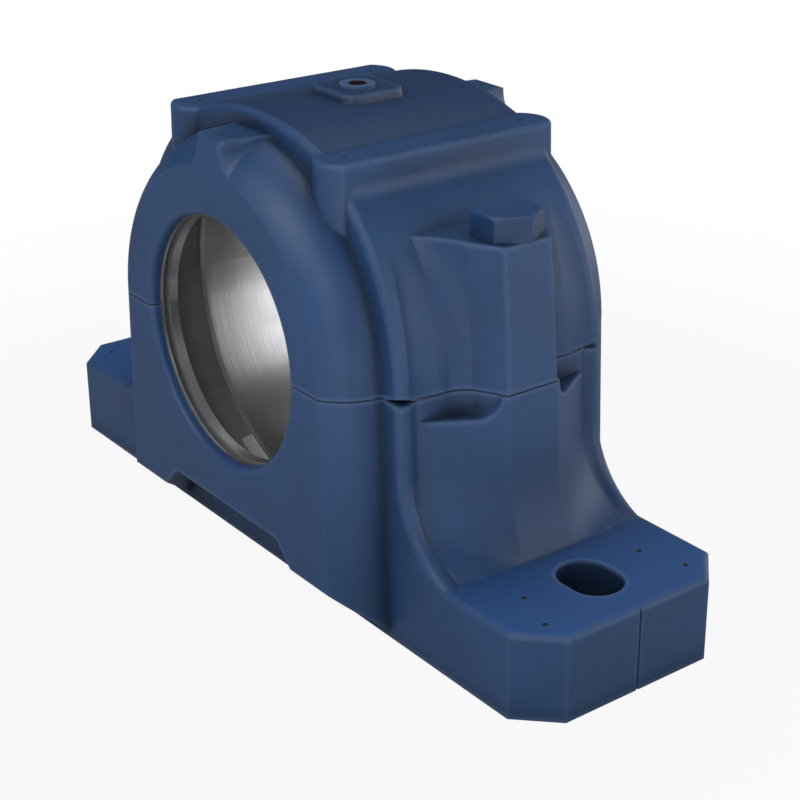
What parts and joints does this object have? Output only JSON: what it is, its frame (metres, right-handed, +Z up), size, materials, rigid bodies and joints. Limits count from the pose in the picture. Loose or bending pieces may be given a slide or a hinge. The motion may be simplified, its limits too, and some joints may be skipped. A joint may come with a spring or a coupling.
{
  "type": "split plummer block housing",
  "caption": "Split cast plummer block housing with slotted feet, bolted cap, doweled joint, seal grooves and a wide bearing seat",
  "frame": {"origin": "centre of the base's underside", "axes": "+X along the base from foot to foot, +Y along the shaft, +Z up from the underside to the cap"},
  "size_m": [0.345, 0.14, 0.194],
  "materials": {
    "base_casting": "satin blue paint on cast iron, machined inside",
    "cap_casting": "satin blue paint on cast iron, machined inside",
    "painted_bolt": "satin blue paint over steel",
    "dowel_steel": "ground steel",
    "plug": "satin blue paint, dark recess"
  },
  "bodies": {
    "base": {"housing_base": "base_casting", "dowel_pin_right": "dowel_steel", "dowel_pin_left": "dowel_steel"},
    "cap": {"housing_cap": "cap_casting"},
    "right_bolt": {"cap_bolt_right": "painted_bolt"},
    "left_bolt": {"cap_bolt_left": "painted_bolt"},
    "plug": {"lubrication_plug": "plug"}
  },
  "joints": [
    {"name": "cap_lift", "type": "slide", "parent": "base", "child": "cap", "axis": [0, 0, 1], "range_m": [0, 0.12]},
    {"name": "right_bolt_draw", "type": "slide", "parent": "cap", "child": "right_bolt", "axis": [0, 0, 1], "range_m": [0, 0.03]},
    {"name": "left_bolt_draw", "type": "slide", "parent": "cap", "child": "left_bolt", "axis": [0, 0, 1], "range_m": [0, 0.03]},
    {"name": "plug_draw", "type": "slide", "parent": "cap", "child": "plug", "axis": [0, 0, 1], "range_m": [0, 0.02]}
  ]
}
